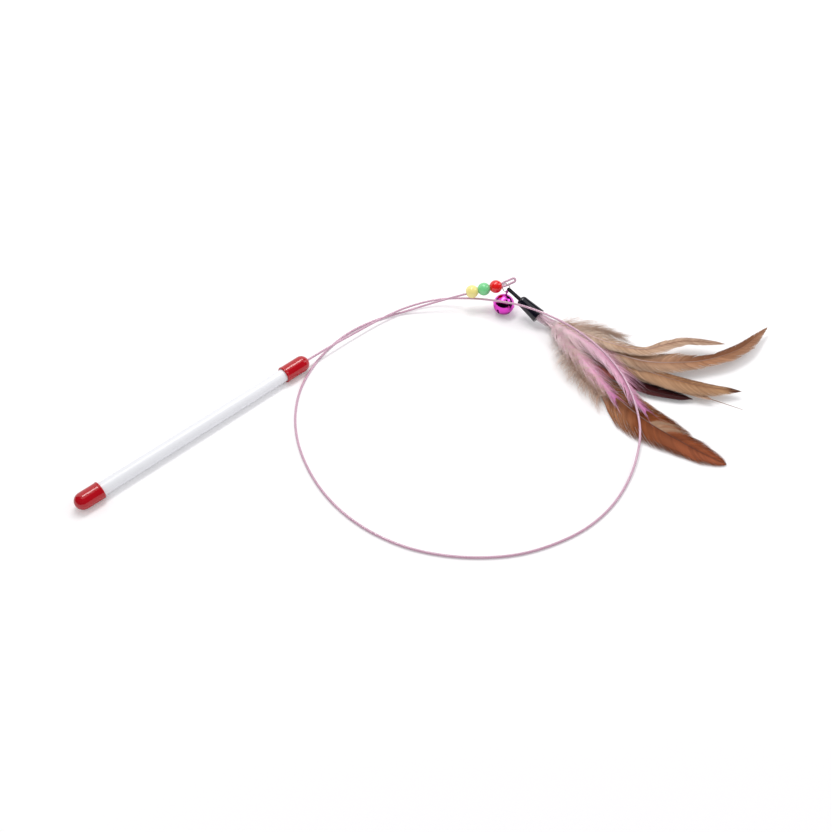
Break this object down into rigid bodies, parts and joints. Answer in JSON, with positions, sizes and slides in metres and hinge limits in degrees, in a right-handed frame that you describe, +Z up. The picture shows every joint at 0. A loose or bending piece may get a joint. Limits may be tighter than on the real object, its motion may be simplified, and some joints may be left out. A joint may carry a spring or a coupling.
{
  "type": "cat teaser wand",
  "caption": "Cat teaser wand: a slim capped handle, a long springy coated wire lying in a loop, and beads, a jingle bell and a feather lure on its end.",
  "frame": {"origin": "on the surface the wand lies on, at the middle of the box of its rigid pieces", "axes": "+X along the handle from its butt to the wire, +Z up, +Y to the left seen from the butt"},
  "size_m": [0.4082, 0.2432, 0.023],
  "materials": {
    "tube_white": "satin extruded tube",
    "cap_red": "glossy dipped vinyl",
    "bung_plastic": "moulded",
    "steel": "bright plated",
    "wire_pink": "clear pink coat over twisted steel strands",
    "bead_yellow": "glossy",
    "bead_green": "glossy",
    "bead_red": "glossy",
    "bell_magenta": "mirror lacquer over pressed metal",
    "pellet_iron": "plain",
    "strap_black": "matte",
    "cone_black": "glossy",
    "glue": "set",
    "sleeve_clear": "clear heat-shrunk sleeve",
    "feather_tan": "barbs on a pale shaft",
    "feather_dark": "barbs on a dark shaft",
    "feather_rust": "barbs on a brown shaft",
    "feather_pink": "dyed loose barbs",
    "down_grey": "down"
  },
  "bodies": {
    "handle": {"handle_tube": "tube_white", "butt_cap": "cap_red", "front_cap": "cap_red", "anchor_plug": "bung_plastic", "anchor_crimp": "steel", "wire": "wire_pink", "wire_eye": "wire_pink"},
    "bead_yellow": {"bead_yellow": "bead_yellow"},
    "bead_green": {"bead_green": "bead_green"},
    "bead_red": {"bead_red": "bead_red"},
    "ring": {"jump_ring": "steel"},
    "bell": {"bell_eyelet": "bell_magenta", "bell_top": "bell_magenta", "bell_bottom": "bell_magenta"},
    "pellet": {"bell_pellet": "pellet_iron"},
    "lure": {"lure_strap": "strap_black", "lure_cone": "cone_black", "quill_glue": "glue", "quill_sleeve": "sleeve_clear", "feather_tan_long": "feather_tan", "feather_tan_sickle": "feather_tan", "feather_tan_mid": "feather_tan", "feather_tan_split": "feather_tan", "feather_dark": "feather_dark", "feather_rust": "feather_rust", "feather_pink_right": "feather_pink", "feather_pink_left": "feather_pink", "plume_left": "down_grey", "plume_top": "down_grey"}
  },
  "joints": [
    {"name": "bead_yellow_spin", "type": "hinge", "parent": "handle", "child": "bead_yellow", "pos_m": [0.0825, 0.0815, 0.0148], "axis": [0.7765, -0.6067, 0.1702], "continuous": true},
    {"name": "bead_green_spin", "type": "hinge", "parent": "handle", "child": "bead_green", "pos_m": [0.08887, 0.07653, 0.0162], "axis": [0.7765, -0.6067, 0.1702], "continuous": true},
    {"name": "bead_red_spin", "type": "hinge", "parent": "handle", "child": "bead_red", "pos_m": [0.09523, 0.07155, 0.01759], "axis": [0.7765, -0.6067, 0.1702], "continuous": true},
    {"name": "ring_turn", "type": "hinge", "parent": "handle", "child": "ring", "pos_m": [0.09999, 0.06625, 0.01696], "axis": [0.9229, 0.1346, -0.3607], "continuous": true},
    {"name": "bell_swing", "type": "hinge", "parent": "handle", "child": "bell", "pos_m": [0.09932, 0.06475, 0.01469], "axis": [0.3017, -0.8349, 0.4604], "range_deg": [-5, 110]},
    {"name": "pellet_roll", "type": "hinge", "parent": "bell", "child": "pellet", "pos_m": [0.09499, 0.06318, 0.00725], "axis": [0.342, -0.9397, 0], "range_deg": [-90, 90]},
    {"name": "lure_swing", "type": "hinge", "parent": "handle", "child": "lure", "pos_m": [0.1002, 0.0635, 0.01649], "axis": [0, 0, 1], "range_deg": [0, 35]}
  ]
}
